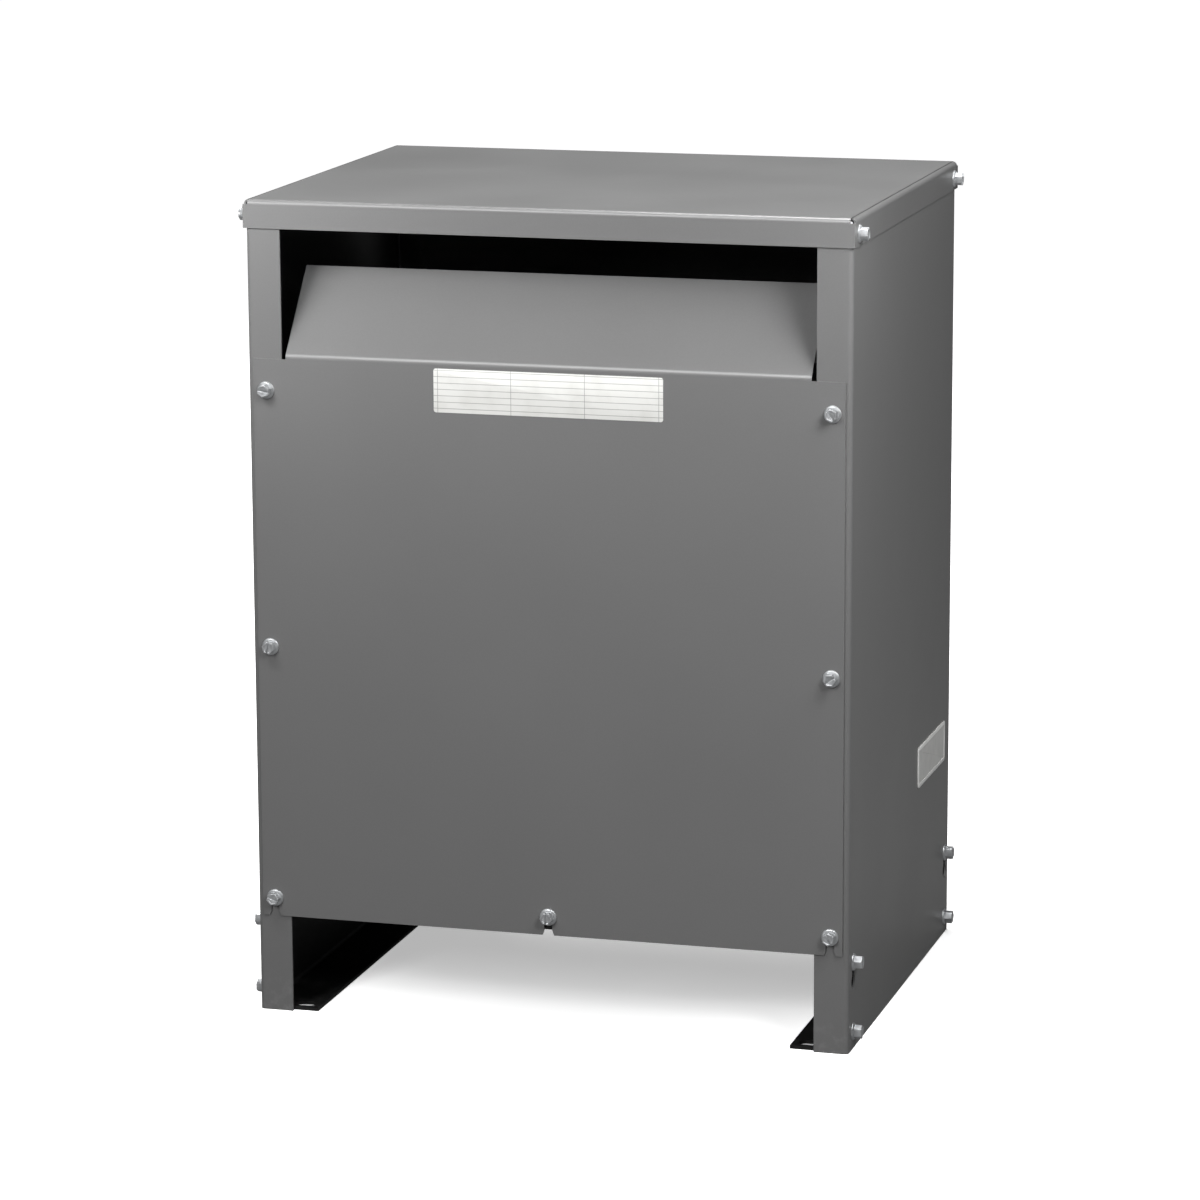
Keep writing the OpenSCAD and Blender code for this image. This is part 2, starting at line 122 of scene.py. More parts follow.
def linear(colour: str) -> tuple[float, float, float, float]:
    """Turns an sRGB hex colour to linear light.

    Args:
        colour: six hex digits after a hash sign.

    Returns:
        Red, green, blue and a full alpha.
    """
    parts = [int(colour[i : i + 2], 16) / 255 for i in (1, 3, 5)]
    light = [p / 12.92 if p <= 0.04045 else ((p + 0.055) / 1.055) ** 2.4 for p in parts]
    return (*light, 1.0)


def feed(tree: bpy.types.NodeTree, socket: bpy.types.NodeSocket, source: object) -> None:
    """Fills one input.

    Args:
        tree: the node tree.
        socket: the input.
        source: a node to link from its first output, a socket, or a value.
    """
    if isinstance(source, bpy.types.Node):
        source = source.outputs[0]
    if isinstance(source, bpy.types.NodeSocket):
        tree.links.new(source, socket)
    else:
        socket.default_value = source


def add_node(tree: bpy.types.NodeTree, kind: str, links: dict, **settings: object) -> bpy.types.Node:
    """Adds one node with its settings, values and links.

    Args:
        tree: the node tree.
        kind: the node's type name, without its common prefix.
        links: what feeds each input, by the input's name or index.
        settings: the node's own attributes.

    Returns:
        The new node.
    """
    node = tree.nodes.new("ShaderNode" + kind)
    for name, value in settings.items():
        setattr(node, name, value)
    for key, source in links.items():
        feed(tree, node.inputs[key], source)
    return node


@dataclass
class Canvas:
    """A new material with its shader and the piece's own coordinates."""

    name: str

    def __post_init__(self) -> None:
        """Makes the material, its tree and the coordinate socket, in metres."""
        self.material = bpy.data.materials.new(self.name)
        self.material.use_nodes = True
        self.tree = self.material.node_tree
        self.shader = self.tree.nodes["Principled BSDF"]
        self.place = self.tree.nodes.new("ShaderNodeTexCoord").outputs["Object"]

    def add(self, kind: str, links: dict, **settings: object) -> bpy.types.Node:
        """Adds one node to this material."""
        return add_node(self.tree, kind, links, **settings)

    def finish(self, **sockets: object) -> bpy.types.Material:
        """Sets or links the shader's sockets.

        Args:
            sockets: what feeds each socket, by its name with underscores for spaces.

        Returns:
            The finished material.
        """
        for name, source in sockets.items():
            feed(self.tree, self.shader.inputs[name.replace("_", " ")], source)
        return self.material


def per_metre(size_mm: float) -> float:
    """Noise scale that makes features about this many millimetres wide."""
    return 1.0 / (size_mm * MM)


def band_scale(period_mm: float) -> float:
    """Wave scale that repeats bands after this many millimetres."""
    return math.pi / 10 / (period_mm * MM)


@dataclass(frozen=True)
class PowderCoat:
    """Powder coat baked on steel sheet.

    The eye gets an even satin colour, the faint ripple of melted powder, slow changes of gloss with the
    film's thickness, and a thinner, paler film over cut edges and where shoes and tools rub. On two side
    sheets the inner faces get painted shade, a dark colour that stands in for the shade inside the box.
    """

    name: str
    colour: str
    thin: str
    roughness: float
    # Ripples in baked powder are 1 to 2 mm apart; they are drawn at 3 mm so that they show
    ripple_mm: float = 3.0
    ripple_depth_mm: float = 0.05
    speck_mm: float = 1.6
    film_mm: float = 140.0
    tone_swing: float = 0.03
    gloss_swing: float = 0.03
    edge_mm: float = 1.5
    rub_mm: float = 9.0
    rub_height_mm: float = 40.0
    rub_dulling: float = 0.2
    # Colour of the painted shade on the inner faces of the side sheets
    painted_shade_colour: str = "#1e1e1e"
    # How far from the middle plane the faces with painted shade lie, give or take the band, and how far
    # they run to front and rear
    painted_shade_x_mm: float | None = None
    painted_shade_band_mm: float = 0.5
    painted_shade_y_mm: float = 195.5

    def painted_inner_shade(self, c: Canvas, axes: bpy.types.Node, colour: bpy.types.NodeSocket) -> bpy.types.NodeSocket:
        """Paints shade on the inner faces of two side sheets.

        Args:
            c: the material so far.
            axes: the node that splits the piece's own coordinates.
            colour: the finish coat's colour.

        Returns:
            The colour of the finish coat outside and of the painted shade inside.
        """
        if self.painted_shade_x_mm is None:
            return colour
        aside = c.add("Math", {0: axes.outputs["X"]}, operation="ABSOLUTE")
        ahead = c.add("Math", {0: axes.outputs["Y"]}, operation="ABSOLUTE")
        band = self.painted_shade_band_mm * MM
        near = c.add("Math", {0: aside, 1: self.painted_shade_x_mm * MM, 2: band}, operation="COMPARE")
        within = c.add("Math", {0: ahead, 1: self.painted_shade_y_mm * MM}, operation="LESS_THAN")
        inside = c.add("Math", {0: near, 1: within}, operation="MULTIPLY")
        # Painted shade: a dark colour on the inner faces, where the enclosure lies in shade
        return c.add("Mix", {0: inside, 6: colour, 7: linear(self.painted_shade_colour)}, data_type="RGBA").outputs[2]

    def material(self) -> bpy.types.Material:
        """Builds the node material.

        Returns:
            The material.
        """
        c = Canvas(self.name)
        film = c.add("TexNoise", {"Vector": c.place, "Scale": per_metre(self.film_mm), "Detail": 3.0})
        speck = c.add("TexNoise", {"Vector": c.place, "Scale": per_metre(self.speck_mm), "Detail": 2.0})
        blend = c.add("Math", {0: film, 1: speck}, operation="ADD")
        tone = c.add(
            "MapRange",
            {
                "Value": blend,
                "From Min": 0.7,
                "From Max": 1.3,
                "To Min": 1.0 - self.tone_swing,
                "To Max": 1.0 + self.tone_swing,
            },
        )
        even = c.add("VectorMath", {0: linear(self.colour)[:3], "Scale": tone}, operation="SCALE")

        rounded = c.add("Bevel", {"Radius": self.edge_mm * MM}, samples=4)
        surface = c.add("NewGeometry", {})
        along = c.add(
            "VectorMath", {0: rounded, 1: surface.outputs["True Normal"]}, operation="DOT_PRODUCT"
        )
        edge = c.add(
            "MapRange",
            {"Value": along.outputs["Value"], "From Min": 0.985, "From Max": 0.75, "To Max": 0.5},
        )
        axes = c.add("SeparateXYZ", {0: c.place})
        rub_top = self.rub_height_mm * MM
        low = c.add(
            "MapRange", {"Value": axes.outputs["Z"], "From Min": rub_top, "From Max": 0.0, "To Max": 0.4}
        )
        rubs = c.add(
            "TexNoise",
            {"Vector": c.place, "Scale": per_metre(self.rub_mm), "Detail": 5.0, "Roughness": 0.65},
        )
        patchy = c.add("MapRange", {"Value": rubs, "From Min": 0.5, "From Max": 0.68})
        either = c.add("Math", {0: edge, 1: low}, operation="MAXIMUM")
        worn = c.add("Math", {0: either, 1: patchy}, operation="MULTIPLY")
        coat = c.add("Mix", {0: worn, 6: even, 7: linear(self.thin)}, data_type="RGBA").outputs[2]
        # The side sheets' inner faces get painted shade
        colour = self.painted_inner_shade(c, axes, coat)

        gloss = c.add(
            "MapRange",
            {
                "Value": film,
                **NOISE_SPAN,
                "To Min": self.roughness - self.gloss_swing,
                "To Max": self.roughness + self.gloss_swing,
            },
        )
        dull = c.add("Math", {0: worn, 1: self.rub_dulling, 2: gloss}, operation="MULTIPLY_ADD")
        ripple = c.add("TexNoise", {"Vector": c.place, "Scale": per_metre(self.ripple_mm), "Detail": 1.0})
        bump = c.add("Bump", {"Height": ripple, "Strength": 0.3, "Distance": self.ripple_depth_mm * MM})
        return c.finish(Base_Color=colour, Roughness=dull, Normal=bump, IOR=1.5)


@dataclass(frozen=True)
class MouldedRubber:
    """Black moulded rubber: dead matt, a fine grain from the mould, and grey dust that settles in it."""

    name: str = "rubber_moulded_black"
    colour: str = "#1c1b1a"
    dust: str = "#4a4845"
    grain_mm: float = 0.9
    grain_depth_mm: float = 0.15
    dust_mm: float = 22.0

    def material(self) -> bpy.types.Material:
        """Builds the node material.

        Returns:
            The material.
        """
        c = Canvas(self.name)
        grain = c.add("TexNoise", {"Vector": c.place, "Scale": per_metre(self.grain_mm), "Detail": 3.0})
        patches = c.add("TexNoise", {"Vector": c.place, "Scale": per_metre(self.dust_mm), "Detail": 4.0})
        dusty = c.add("MapRange", {"Value": patches, "From Min": 0.45, "From Max": 0.75, "To Max": 0.45})
        colour = c.add("Mix", {0: dusty, 6: linear(self.colour), 7: linear(self.dust)}, data_type="RGBA")
        dull = c.add("MapRange", {"Value": grain, "To Min": 0.72, "To Max": 0.92})
        bump = c.add("Bump", {"Height": grain, "Strength": 0.5, "Distance": self.grain_depth_mm * MM})
        return c.finish(Base_Color=colour.outputs[2], Roughness=dull, Normal=bump, IOR=1.52)


@dataclass(frozen=True)
class CoreSteel:
    """Varnished stack of silicon steel sheets.

    Cut edges show as fine lines across the stack, each sheet a little lighter or darker than the next,
    under a brownish varnish that pools in soft patches.
    """

    name: str = "silicon_steel_laminated_varnished"
    light: str = "#6d6f70"
    dark: str = "#3b3c3e"
    varnish: str = "#4a3b2a"
    # Sheets are 0.35 mm thick; they are drawn in packs of 2 mm so that they show
    sheet_mm: float = 2.0
    sheet_step_mm: float = 0.2
    # A sheet keeps its tone for about a third of a metre
    even_mm: float = 1000.0 / 3
    pool_mm: float = 45.0
    metallic: float = 0.55

    def material(self) -> bpy.types.Material:
        """Builds the node material.

        Returns:
            The material.
        """
        c = Canvas(self.name)
        along = per_metre(self.even_mm)
        stretch = (along, per_metre(self.sheet_mm), along)
        stretched = c.add("Mapping", {"Vector": c.place, "Scale": stretch})
        sheets = c.add("TexNoise", {"Vector": stretched, "Scale": 1.0, "Detail": 1.0})
        tone = c.add("MapRange", {"Value": sheets, **NOISE_SPAN})
        steel = c.add("Mix", {0: tone, 6: linear(self.dark), 7: linear(self.light)}, data_type="RGBA")
        pools = c.add("TexNoise", {"Vector": c.place, "Scale": per_metre(self.pool_mm), "Detail": 5.0})
        brown = c.add(
            "MapRange", {"Value": pools, "From Min": 0.42, "From Max": 0.7, "To Min": 0.15, "To Max": 0.6}
        )
        colour = c.add("Mix", {0: brown, 6: steel.outputs[2], 7: linear(self.varnish)}, data_type="RGBA")
        dull = c.add("MapRange", {"Value": pools, **NOISE_SPAN, "To Min": 0.55, "To Max": 0.35})
        bump = c.add("Bump", {"Height": sheets, "Strength": 0.4, "Distance": self.sheet_step_mm * MM})
        return c.finish(
            Base_Color=colour.outputs[2],
            Roughness=dull,
            Normal=bump,
            Metallic=self.metallic,
            Coat_Weight=0.25,
            Coat_Roughness=0.3,
        )


@dataclass(frozen=True)
class ZincPlate:
    """Zinc plated steel: pale metal with a soft gloss, cloudy from the bath, with fine handling marks."""

    name: str
    colour: str = "#d6d8da"
    cloudy: str = "#b2b4b6"
    roughness: float = 0.46
    smoother: float = 0.1
    duller: float = 0.12
    # The clear film that seals the plating is slightly milky, so a little of the look isn't metal
    metallic: float = 0.85
    cloud_mm: float = 5.0
    mark_mm: float = 0.8
    mark_depth_mm: float = 0.03

    def material(self) -> bpy.types.Material:
        """Builds the node material.

        Returns:
            The material.
        """
        c = Canvas(self.name)
        cloud = c.add("TexNoise", {"Vector": c.place, "Scale": per_metre(self.cloud_mm), "Detail": 4.0})
        share = c.add("MapRange", {"Value": cloud, "From Min": 0.4, "From Max": 0.7, "To Max": 0.7})
        colour = c.add("Mix", {0: share, 6: linear(self.colour), 7: linear(self.cloudy)}, data_type="RGBA")
        marks = c.add("TexNoise", {"Vector": c.place, "Scale": per_metre(self.mark_mm), "Detail": 3.0})
        dull = c.add(
            "MapRange",
            {
                "Value": marks,
                "To Min": self.roughness - self.smoother,
                "To Max": self.roughness + self.duller,
            },
        )
        bump = c.add("Bump", {"Height": marks, "Strength": 0.15, "Distance": self.mark_depth_mm * MM})
        return c.finish(Base_Color=colour.outputs[2], Roughness=dull, Normal=bump, Metallic=self.metallic)


@dataclass(frozen=True)
class VarnishedWrap:
    """Insulating paper wound in overlapping turns and dipped in varnish.

    Every turn leaves a shallow step along the coil, the paper's fibres show through, and the varnish
    gives a warm, uneven gloss with darker runs.
    """

    name: str
    colour: str
    stain: str
    turn_mm: float
    fibre_mm: float = 1.8
    # Fibres lie along the turns, four times as long as they are wide
    fibre_stretch: tuple[float, float, float] = (0.25, 0.25, 1.0)
    # Varnish runs down the coil in long streaks, about seven to a metre of height
    run_width_mm: float = 25.0
    run_length_mm: float = 1000.0 / 7
    step_mm: float = 0.6

    def material(self) -> bpy.types.Material:
        """Builds the node material.

        Returns:
            The material.
        """
        c = Canvas(self.name)
        turns = c.add(
            "TexWave",
            {"Vector": c.place, "Scale": band_scale(self.turn_mm), "Distortion": 0.6, "Detail Scale": 0.4},
            bands_direction="Z",
            wave_profile="SAW",
        )
        across = per_metre(self.run_width_mm)
        run_scale = (across, across, per_metre(self.run_length_mm))
        drawn_out = c.add("Mapping", {"Vector": c.place, "Scale": run_scale})
        runs = c.add("TexNoise", {"Vector": drawn_out, "Scale": 1.0, "Detail": 5.0})
        laid = c.add("Mapping", {"Vector": c.place, "Scale": self.fibre_stretch})
        fibres = c.add("TexNoise", {"Vector": laid, "Scale": per_metre(self.fibre_mm), "Detail": 4.0})
        dark = c.add("MapRange", {"Value": runs, "From Min": 0.4, "From Max": 0.72, "To Max": 0.8})
        paper = c.add("Mix", {0: dark, 6: linear(self.colour), 7: linear(self.stain)}, data_type="RGBA")
        tone = c.add("MapRange", {"Value": fibres, **NOISE_SPAN, "To Min": 0.82, "To Max": 1.12})
        shade = c.add("MapRange", {"Value": turns.outputs["Fac"], "To Min": 0.78, "To Max": 1.06})
        both = c.add("Math", {0: tone, 1: shade}, operation="MULTIPLY")
        colour = c.add("VectorMath", {0: paper.outputs[2], "Scale": both}, operation="SCALE")
        relief = c.add("Math", {0: fibres, 1: 0.2, 2: turns.outputs["Fac"]}, operation="MULTIPLY_ADD")
        bump = c.add("Bump", {"Height": relief, "Strength": 0.7, "Distance": self.step_mm * MM})
        dull = c.add("MapRange", {"Value": runs, **NOISE_SPAN, "To Min": 0.6, "To Max": 0.4})
        return c.finish(
            Base_Color=colour, Roughness=dull, Normal=bump, IOR=1.5, Coat_Weight=0.35, Coat_Roughness=0.22
        )


@dataclass(frozen=True)
class PressedBoard:
    """Pressed cellulose board: tan and matt, with short fibres, browner where varnish soaked in."""

    name: str = "cellulose_board_pressed"
    colour: str = "#b39b76"
    soaked: str = "#7d623f"
    fibre_mm: float = 1.2
    fibre_depth_mm: float = 0.15
    soak_mm: float = 18.0

    def material(self) -> bpy.types.Material:
        """Builds the node material.

        Returns:
            The material.
        """
        c = Canvas(self.name)
        fibres = c.add(
            "TexNoise",
            {"Vector": c.place, "Scale": per_metre(self.fibre_mm), "Detail": 6.0, "Distortion": 1.5},
        )
        soak = c.add("TexNoise", {"Vector": c.place, "Scale": per_metre(self.soak_mm), "Detail": 4.0})
        share = c.add("MapRange", {"Value": soak, "From Min": 0.4, "From Max": 0.7, "To Max": 0.9})
        board = c.add("Mix", {0: share, 6: linear(self.colour), 7: linear(self.soaked)}, data_type="RGBA")
        tone = c.add("MapRange", {"Value": fibres, **NOISE_SPAN, "To Min": 0.8, "To Max": 1.15})
        colour = c.add("VectorMath", {0: board.outputs[2], "Scale": tone}, operation="SCALE")
        dull = c.add("MapRange", {"Value": soak, "To Min": 0.9, "To Max": 0.6})
        bump = c.add("Bump", {"Height": fibres, "Strength": 0.4, "Distance": self.fibre_depth_mm * MM})
        return c.finish(Base_Color=colour, Roughness=dull, Normal=bump, IOR=1.47)


@dataclass(frozen=True)
class GlassLaminate:
    """Glass-filled polyester sheet, hot pressed: brick red, half gloss, with pale strands of glass."""

    name: str = "glass_polyester_pressed_red"
    colour: str = "#8c4236"
    strand: str = "#a9685a"
    strand_mm: float = 2.2
    strand_depth_mm: float = 0.08
    patch_mm: float = 40.0

    def material(self) -> bpy.types.Material:
        """Builds the node material.

        Returns:
            The material.
        """
        c = Canvas(self.name)
        strands = c.add(
            "TexNoise",
            {"Vector": c.place, "Scale": per_metre(self.strand_mm), "Detail": 5.0, "Distortion": 2.5},
        )
        pale = c.add("MapRange", {"Value": strands, "From Min": 0.52, "From Max": 0.66, "To Max": 0.7})
        colour = c.add("Mix", {0: pale, 6: linear(self.colour), 7: linear(self.strand)}, data_type="RGBA")
        patches = c.add("TexNoise", {"Vector": c.place, "Scale": per_metre(self.patch_mm), "Detail": 3.0})
        dull = c.add("MapRange", {"Value": patches, **NOISE_SPAN, "To Min": 0.34, "To Max": 0.5})
        bump = c.add("Bump", {"Height": strands, "Strength": 0.2, "Distance": self.strand_depth_mm * MM})
        return c.finish(Base_Color=colour.outputs[2], Roughness=dull, Normal=bump, IOR=1.54)


@dataclass(frozen=True)
class TinPlate:
    """Tin plated aluminium bar: pale satin metal with draw lines along the bar and duller stains."""

    name: str = "tin_plated_bar_drawn"
    colour: str = "#bebfbc"
    stain: str = "#8b8a85"
    # Draw lines are some 0.1 mm apart; they are drawn at 0.8 mm so that they show
    line_mm: float = 0.8
    line_length_mm: float = 50.0
    line_depth_mm: float = 0.04
    stain_mm: float = 14.0

    def material(self) -> bpy.types.Material:
        """Builds the node material.

        Returns:
            The material.
        """
        c = Canvas(self.name)
        along = per_metre(self.line_length_mm)
        drawn = c.add("Mapping", {"Vector": c.place, "Scale": (per_metre(self.line_mm), along, along)})
        lines = c.add("TexNoise", {"Vector": drawn, "Scale": 1.0, "Detail": 2.0})
        stains = c.add("TexNoise", {"Vector": c.place, "Scale": per_metre(self.stain_mm), "Detail": 5.0})
        share = c.add("MapRange", {"Value": stains, "From Min": 0.45, "From Max": 0.75, "To Max": 0.7})
        colour = c.add("Mix", {0: share, 6: linear(self.colour), 7: linear(self.stain)}, data_type="RGBA")
        dull = c.add("MapRange", {"Value": lines, "To Min": 0.28, "To Max": 0.48})
        bump = c.add("Bump", {"Height": lines, "Strength": 0.2, "Distance": self.line_depth_mm * MM})
        return c.finish(Base_Color=colour.outputs[2], Roughness=dull, Normal=bump, Metallic=1.0)


@dataclass(frozen=True)
class LabelFilm:
    """Printed polyester film stuck to paint: pale and half gloss, with thin grey rules, faintly grubby."""

    name: str = "polyester_film_printed"
    colour: str = "#d9d9d6"
    rule: str = "#8d8d8b"
    grubby: str = "#d2d1cd"
    row_mm: float = 5.2
    column_mm: float = 62.0
    rule_mm: float = 0.45
    smear_mm: float = 17.0
    smear_depth_mm: float = 0.1

    def material(self, corner: Vector) -> bpy.types.Material:
        """Builds the node material.

        Args:
            corner: lowest left corner of the ruled field, in the part's frame.

        Returns:
            The material, ruled for a label that faces the front.
        """
        c = Canvas(self.name)
        laid = c.add("Mapping", {"Vector": c.place, "Location": -corner}, vector_type="POINT")
        axes = c.add("SeparateXYZ", {0: laid})
        upright = c.add("CombineXYZ", {0: axes.outputs["X"], 1: axes.outputs["Z"]})
        cells = c.add(
            "TexBrick",
            {
                "Vector": upright,
                "Color1": linear(self.colour),
                "Color2": linear(self.colour),
                "Mortar": linear(self.rule),
                "Scale": 1.0,
                "Mortar Size": self.rule_mm * MM / 2,
                "Mortar Smooth": 0.2,
                "Brick Width": self.column_mm * MM,
                "Row Height": self.row_mm * MM,
            },
            offset=0.0,
        )
        smears = c.add("TexNoise", {"Vector": c.place, "Scale": per_metre(self.smear_mm), "Detail": 5.0})
        share = c.add("MapRange", {"Value": smears, "From Min": 0.45, "From Max": 0.75, "To Max": 0.3})
        colour = c.add(
            "Mix", {0: share, 6: cells, 7: linear(self.grubby)}, data_type="RGBA", blend_type="MULTIPLY"
        )
        dull = c.add("MapRange", {"Value": smears, **NOISE_SPAN, "To Min": 0.48, "To Max": 0.6})
        bump = c.add("Bump", {"Height": smears, "Strength": 0.1, "Distance": self.smear_depth_mm * MM})
        return c.finish(Base_Color=colour.outputs[2], Roughness=dull, Normal=bump, IOR=1.57)


@dataclass(frozen=True)
class PrintedPlate:
    """Aluminium plate printed with ink: a pale raised border round a greyer, matt and handled field."""

    name: str = "aluminium_plate_printed"
    border: str = "#f2f2f0"
    field: str = "#cdcdcb"
    # Brush lines under the ink are some 0.1 mm apart; they are drawn at 0.7 mm so that they show
    line_mm: float = 0.7
    line_length_mm: float = 50.0
    line_depth_mm: float = 0.03
    stain_mm: float = 11.0

    def material(self, proud: float, sunk: float) -> bpy.types.Material:
        """Builds the node material.

        Args:
            proud: X of the raised border's face.
            sunk: X of the sunk field's face.

        Returns:
            The material, for a plate that faces right.
        """
        c = Canvas(self.name)
        along = per_metre(self.line_length_mm)
        brushed = c.add("Mapping", {"Vector": c.place, "Scale": (along, along, per_metre(self.line_mm))})
        lines = c.add("TexNoise", {"Vector": brushed, "Scale": 1.0, "Detail": 2.0})
        depth = c.add("SeparateXYZ", {0: c.place})
        raised = c.add("MapRange", {"Value": depth.outputs["X"], "From Min": sunk, "From Max": proud})
        colour = c.add("Mix", {0: raised, 6: linear(self.field), 7: linear(self.border)}, data_type="RGBA")
        stains = c.add("TexNoise", {"Vector": c.place, "Scale": per_metre(self.stain_mm), "Detail": 5.0})
        tone = c.add("MapRange", {"Value": stains, **NOISE_SPAN, "To Min": 0.9, "To Max": 1.0})
        shade = c.add("VectorMath", {0: colour.outputs[2], "Scale": tone}, operation="SCALE")
        matt = c.add("MapRange", {"Value": raised, "To Min": 0.5, "To Max": 0.3})
        dull = c.add("Math", {0: lines, 1: 0.12, 2: matt}, operation="MULTIPLY_ADD")
        bump = c.add("Bump", {"Height": lines, "Strength": 0.15, "Distance": self.line_depth_mm * MM})
        return c.finish(Base_Color=shade, Roughness=dull, Normal=bump, IOR=1.5)


class Palette:
    """One finish for each slot of the record."""

    def __init__(self) -> None:
        """Mixes every finish once."""
        finishes = {
            # The grey coat gets painted shade on the inner faces of the side sheets, 252 mm from the middle
            Slot.ENCLOSURE: PowderCoat(
                "powder_coat_satin_grey", "#6a6a6a", "#8a8a8a", 0.35, painted_shade_x_mm=252.0
            ),
            Slot.BASE: PowderCoat("powder_coat_satin_black", "#121212", "#3c3c3c", 0.5),
            Slot.PADS: MouldedRubber(),
            Slot.CORE: CoreSteel(),
            Slot.CLAMPS: PowderCoat("primer_baked_dark", "#3a3b3d", "#6b6c6e", 0.6),
            Slot.ZINC: ZincPlate("zinc_plate_on_steel"),
            Slot.INNER_WRAP: VarnishedWrap("paper_wrap_varnished_inner", "#a58458", "#6b4a28", 20.0),
            Slot.OUTER_WRAP: VarnishedWrap("paper_wrap_varnished_outer", "#94734b", "#5b3d22", 25.0),
            Slot.BOARD: PressedBoard(),
            Slot.LAMINATE: GlassLaminate(),
            Slot.BARS: TinPlate(),
        }
        self.materials = {slot: finish.material() for slot, finish in finishes.items()}

    def __getitem__(self, slot: Slot) -> bpy.types.Material:
        """Gives a slot's material."""
        return self.materials[slot]


class Bench:
    """Edit-mode work on one piece with Blender's own operators."""

    @staticmethod
    def clear() -> None:
        """Deselects every object."""
        bpy.ops.object.select_all(action="DESELECT")

    @staticmethod
    def pick(piece: bpy.types.Object) -> bpy.types.Object:
        """Selects one object alone and makes it active.

        Args:
            piece: the object to work on.

        Returns:
            The same object.
        """
        Bench.clear()
        piece.select_set(True)
        bpy.context.view_layer.objects.active = piece
        return piece

    @staticmethod
    def added() -> bpy.types.Object:
        """Gives the primitive that was just added, selected alone."""
        return Bench.pick(bpy.context.view_layer.objects.active)

    @staticmethod
    def settle() -> None:
        """Puts the active piece's place, turn and scale into its mesh."""
        bpy.ops.object.transform_apply(location=True, rotation=True, scale=True)

    @staticmethod
    def cylinder(sides: int, radius: float, depth: float, middle: float) -> bpy.types.Object:
        """Models an upright cylinder or prism round the Z axis.

        Args:
            sides: how many flats it has.
            radius: from the axis to its upright edges.
            depth: its height.
            middle: how high its middle lies.

        Returns:
            The cylinder, selected alone.
        """
        Bench.clear()
        bpy.ops.mesh.primitive_cylinder_add(
            vertices=sides, radius=radius, depth=depth, location=(0, 0, middle)
        )
        piece = Bench.added()
        Bench.settle()
        return piece

    @staticmethod
    @contextmanager
    def editing(piece: bpy.types.Object) -> Iterator[None]:
        """Holds a piece in edit mode for the length of a with block.

        Args:
            piece: the object to edit.
        """
        Bench.pick(piece)
        bpy.ops.object.mode_set(mode="EDIT")
        yield
        bpy.ops.object.mode_set(mode="OBJECT")

    @staticmethod
    def choose_faces(piece: bpy.types.Object, test: Callable[[Vector, Vector], bool]) -> None:
        """Selects the faces that pass a test, in edit mode.

        Args:
            piece: the object being edited.
            test: takes a face's middle and normal.
        """
        bpy.ops.mesh.select_mode(type="FACE")
        mesh = bmesh.from_edit_mesh(piece.data)
        bpy.ops.mesh.select_all(action="DESELECT")
        for face in mesh.faces:
            face.select_set(test(face.calc_center_median(), face.normal))
        bmesh.update_edit_mesh(piece.data)

    @staticmethod
    def choose_edges(piece: bpy.types.Object, test: Callable[[Vector, Vector], bool]) -> None:
        """Selects the edges that pass a test, in edit mode.

        Args:
            piece: the object being edited.
            test: takes an edge's two ends.
        """
        bpy.ops.mesh.select_mode(type="EDGE")
        mesh = bmesh.from_edit_mesh(piece.data)
        bpy.ops.mesh.select_all(action="DESELECT")
        for edge in mesh.edges:
            edge.select_set(test(edge.verts[0].co, edge.verts[1].co))
        bmesh.update_edit_mesh(piece.data)

    @staticmethod
    def apply(piece: bpy.types.Object, kind: str, **settings: object) -> None:
        """Adds a modifier to a piece and applies it.

        Args:
            piece: the object to change.
            kind: the modifier's type.
            settings: the modifier's own attributes.
        """
        Bench.pick(piece)
        bpy.ops.object.modifier_add(type=kind)
        modifier = piece.modifiers[-1]
        for name, value in settings.items():
            setattr(modifier, name, value)
        bpy.ops.object.modifier_apply(modifier=modifier.name)

    @staticmethod
    def round_edges(piece: bpy.types.Object, width: float) -> None:
        """Rounds a piece's sharp edges.

        Args:
            piece: the object to change.
            width: how wide the rounding is.
        """
        Bench.apply(
            piece, "BEVEL", width=width, segments=2, limit_method="ANGLE", angle_limit=ROUNDED_FROM
        )

    @staticmethod
    def combine(piece: bpy.types.Object, tool: bpy.types.Object, operation: str) -> None:
        """Joins a tool shape to a piece, or cuts it away, and removes the tool.

        Args:
            piece: the object to change.
            tool: the shape to join or cut with.
            operation: UNION or DIFFERENCE.
        """
        Bench.apply(piece, "BOOLEAN", operation=operation, solver="EXACT", object=tool)
        Bench.remove(tool)

    @staticmethod
    def remove(piece: bpy.types.Object) -> None:
        """Deletes a piece and its mesh."""
        bpy.data.meshes.remove(piece.data)

    @staticmethod
    def copy_to(pattern: bpy.types.Object, seat: Vector, facing: Facing, turn: float) -> bpy.types.Object:
        """Copies a pattern that stands on +Z to a seat, with its place in its mesh.

        Args:
            pattern: the finished shape, at the origin.
            seat: where the pattern's origin goes.
            facing: where its +Z goes.
            turn: turn about its own axis, in radians.

        Returns:
            The copy, which has its own mesh.
        """
        Bench.pick(pattern)
        bpy.ops.object.duplicate(linked=False)
        piece = Bench.added()
        upright = Vector(facing.value).to_track_quat("Z", "Y").to_matrix().to_4x4()
        piece.matrix_world = Matrix.Translation(seat) @ upright @ Matrix.Rotation(turn, 4, "Z")
        Bench.settle()
        return piece

    @staticmethod
    def dress(piece: bpy.types.Object, name: str, material: bpy.types.Material, slot: Slot | None) -> None:
        """Names a finished piece, gives it its material and fixes it to the body.

        Args:
            piece: the finished object.
            name: its name in the table.
            material: its finish.
            slot: the record's slot for it, if it has one; not used.
        """
        piece.name = name
        piece.data.name = name
        piece.data.materials.clear()
        piece.data.materials.append(material)
        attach(piece, BODY)
        LOG.info("%s: %d faces", name, len(piece.data.polygons))


